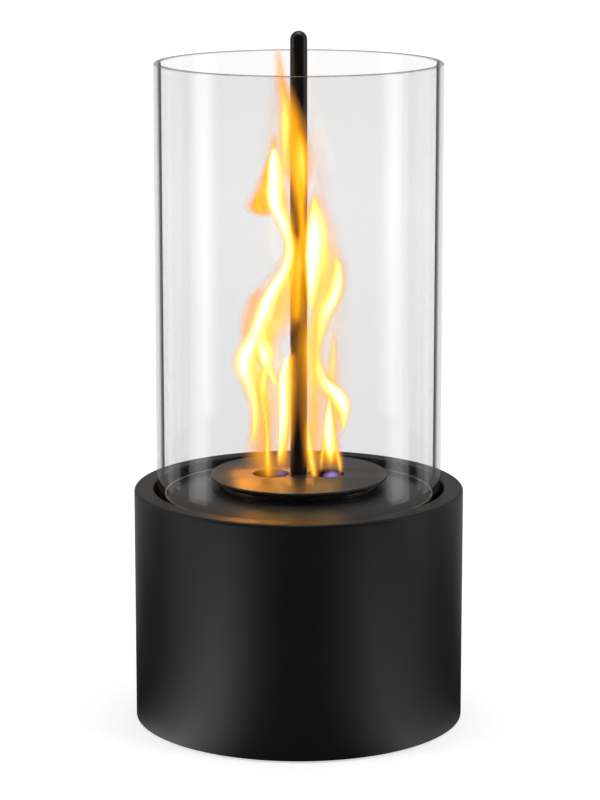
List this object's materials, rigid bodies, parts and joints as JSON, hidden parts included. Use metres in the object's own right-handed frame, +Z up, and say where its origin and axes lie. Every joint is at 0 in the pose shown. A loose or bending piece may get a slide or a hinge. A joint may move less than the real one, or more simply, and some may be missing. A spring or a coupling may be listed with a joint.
{
  "type": "bioethanol fireplace",
  "caption": "Table-top bioethanol fireplace: round steel base, sunk tray with fuel cup and flame disc, a rod that turns a shutter, and a glass cylinder.",
  "frame": {"origin": "on the vertical axis, at the underside of the feet", "axes": "+Z up along the axis of the glass and the rod, -Y towards the viewer, the two flame openings lie along X"},
  "size_m": [0.16, 0.16, 0.3358],
  "materials": {
    "coated_steel": "fine satin black powder coat",
    "rod_coat": "smooth satin black coat",
    "clear_glass": "clear heat-proof glass with fire-polished edges",
    "stainless": "drawn stainless steel",
    "zinc": "bright zinc plate",
    "black_rubber": "matt moulded rubber",
    "silicone": "matt black silicone",
    "fibre": "pressed fibre gasket",
    "ceramic_wool": "soft white ceramic wool",
    "flame": "see-through glowing gas, no solid"
  },
  "bodies": {
    "base": {"housing_shell": "coated_steel", "base_plate": "zinc", "burner_tray": "coated_steel", "glass_seal": "silicone", "foot_1": "black_rubber", "foot_screw_1": "zinc", "foot_nut_1": "zinc", "base_bracket_1": "zinc", "foot_2": "black_rubber", "foot_screw_2": "zinc", "foot_nut_2": "zinc", "base_bracket_2": "zinc", "foot_3": "black_rubber", "foot_screw_3": "zinc", "foot_nut_3": "zinc", "base_bracket_3": "zinc", "foot_4": "black_rubber", "foot_screw_4": "zinc", "foot_nut_4": "zinc", "base_bracket_4": "zinc", "tray_stud_1": "zinc", "tray_nut_1": "zinc", "tray_stud_2": "zinc", "tray_nut_2": "zinc", "tray_stud_3": "zinc", "tray_nut_3": "zinc"},
    "glass": {"glass_cylinder": "clear_glass"},
    "cup": {"fuel_cup": "stainless", "cup_gasket": "fibre", "cup_collar": "coated_steel", "wool_pad": "ceramic_wool", "wool_screen": "stainless", "screen_ring": "stainless"},
    "disc": {"flame_disc": "coated_steel", "disc_hook_1": "coated_steel", "disc_hook_2": "coated_steel", "disc_hook_3": "coated_steel"},
    "rod": {"rod": "rod_coat", "shutter_plate": "stainless", "shutter_washer": "zinc", "shutter_nut": "zinc"}
  },
  "joints": [
    {"name": "glass_lift", "type": "slide", "parent": "base", "child": "glass", "axis": [0, 0, 1], "range_m": [0, 0.24]},
    {"name": "cup_lift", "type": "slide", "parent": "base", "child": "cup", "axis": [0, 0, 1], "range_m": [0, 0.28]},
    {"name": "disc_lift", "type": "slide", "parent": "cup", "child": "disc", "axis": [0, 0, 1], "range_m": [0, 0.22]},
    {"name": "rod_turn", "type": "hinge", "parent": "disc", "child": "rod", "pos_m": [0, 0, 0.1213], "axis": [0, 0, 1], "range_deg": [0, 90]}
  ]
}
